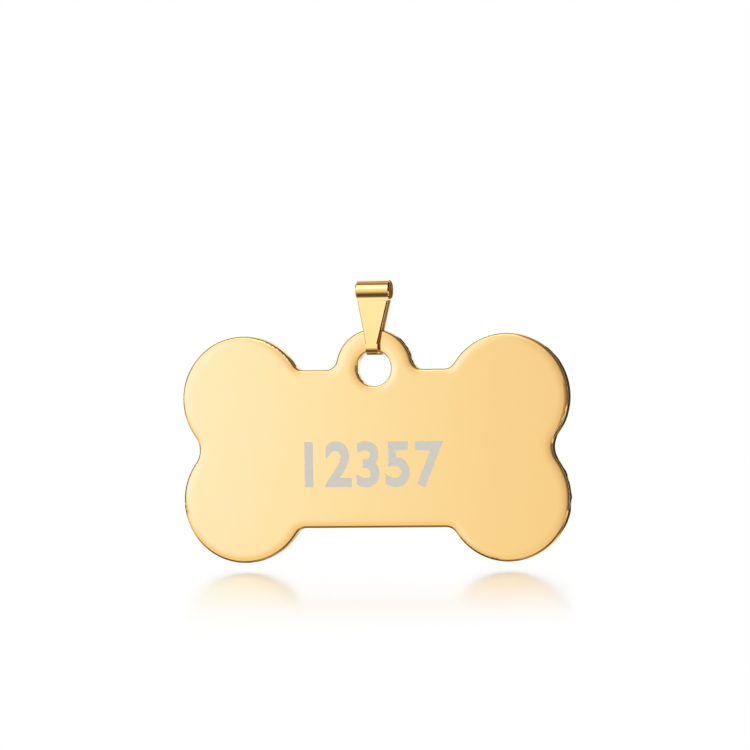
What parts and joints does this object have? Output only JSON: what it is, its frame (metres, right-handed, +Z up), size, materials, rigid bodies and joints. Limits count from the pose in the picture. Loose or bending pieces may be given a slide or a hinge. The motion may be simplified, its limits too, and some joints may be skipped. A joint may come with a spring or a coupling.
{
  "type": "pet id tag",
  "caption": "Bone-shaped pet ID tag of polished gold-coated steel, hung through a hole in its ear from a folded strip bail with a rolled tube for a chain or ring.",
  "frame": {"origin": "centre of the bail's rolled tube, on the axis of the chain that passes through it", "axes": "+X along the bone to the viewer's right, +Y from the marked face to the back, +Z up"},
  "size_m": [0.04, 0.0028, 0.0283],
  "materials": {
    "gold_coated_plate": "mirror-polished stainless steel with a thin gold-coloured coating",
    "gold_coated_strip": "mirror-polished stainless steel strip with a thin gold-coloured coating"
  },
  "bodies": {
    "bail": {"bail": "gold_coated_strip"},
    "tag_plate": {"tag_plate": "gold_coated_plate"}
  },
  "joints": [
    {"name": "tag_swing", "type": "hinge", "parent": "bail", "child": "tag_plate", "pos_m": [0, 0, -0.00784], "axis": [0, 1, 0], "range_deg": [-70, 70]}
  ]
}
